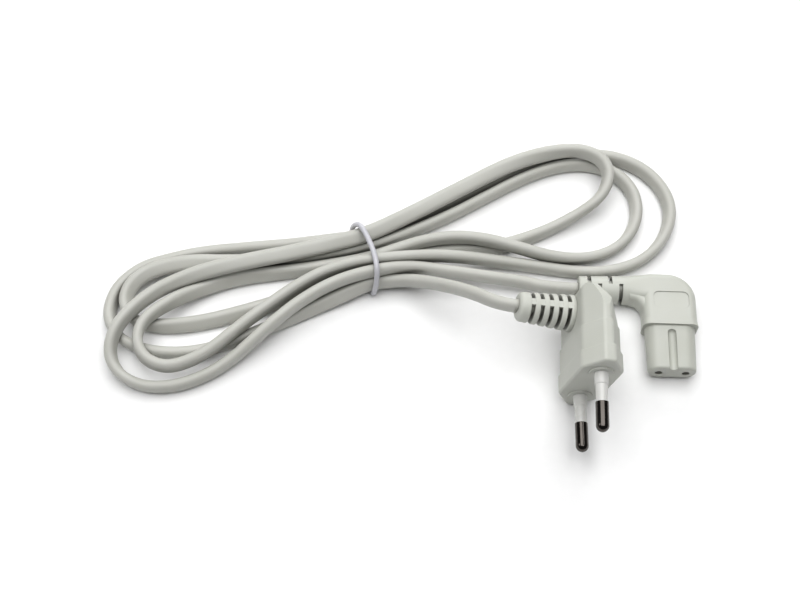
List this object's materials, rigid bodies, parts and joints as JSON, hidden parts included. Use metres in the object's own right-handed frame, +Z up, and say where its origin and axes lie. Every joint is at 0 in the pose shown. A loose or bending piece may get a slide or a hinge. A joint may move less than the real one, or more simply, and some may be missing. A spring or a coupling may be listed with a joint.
{
  "type": "mains power cord",
  "caption": "Flat mains cord in a loose tied hank, with an angled flat plug for wall sockets and an angled figure-eight appliance connector.",
  "frame": {"origin": "middle of the box round the plug and the connector, at table level (the cable and its tie left out)", "axes": "+Z up from the table; -Y the way both engagement faces look, turned 2 degrees; +X to the right of the picture, the side away from the cable's exits"},
  "size_m": [0.1928, 0.1143, 0.0349],
  "materials": {
    "moulding_pvc": "satin moulded PVC, light warm grey",
    "cable_pvc": "satin extruded PVC, light warm grey",
    "insert_plastic": "hard matte thermoplastic",
    "carrier_plastic": "hard matte thermoplastic, unseen",
    "sleeve_plastic": "smooth hard thermoplastic",
    "tie_plastic": "smooth white plastic over wire, slightly lilac",
    "nickel": "nickel-plated brass, polished by use",
    "contact_brass": "plain rolled brass",
    "copper": "bare stranded copper",
    "core_brown": "extruded PVC insulation, brown",
    "core_blue": "extruded PVC insulation, blue"
  },
  "bodies": {
    "root": {"plug_housing": "moulding_pvc", "plug_carrier": "carrier_plastic", "plug_sheath_end": "cable_pvc", "pin_upper": "nickel", "pin_lower": "nickel", "pin_sleeve_upper": "sleeve_plastic", "pin_sleeve_lower": "sleeve_plastic", "plug_core_upper": "core_brown", "plug_core_lower": "core_blue", "plug_strands_upper": "copper", "plug_strands_lower": "copper", "connector_housing": "moulding_pvc", "connector_insert": "insert_plastic", "connector_sheath_end": "cable_pvc", "contact_left": "contact_brass", "contact_right": "contact_brass", "connector_core_left": "core_brown", "connector_core_right": "core_blue", "connector_strands_left": "copper", "connector_strands_right": "copper", "cord_hank": "cable_pvc", "cord_plug_lead": "cable_pvc", "cord_connector_lead": "cable_pvc", "tie": "tie_plastic"}
  },
  "joints": []
}
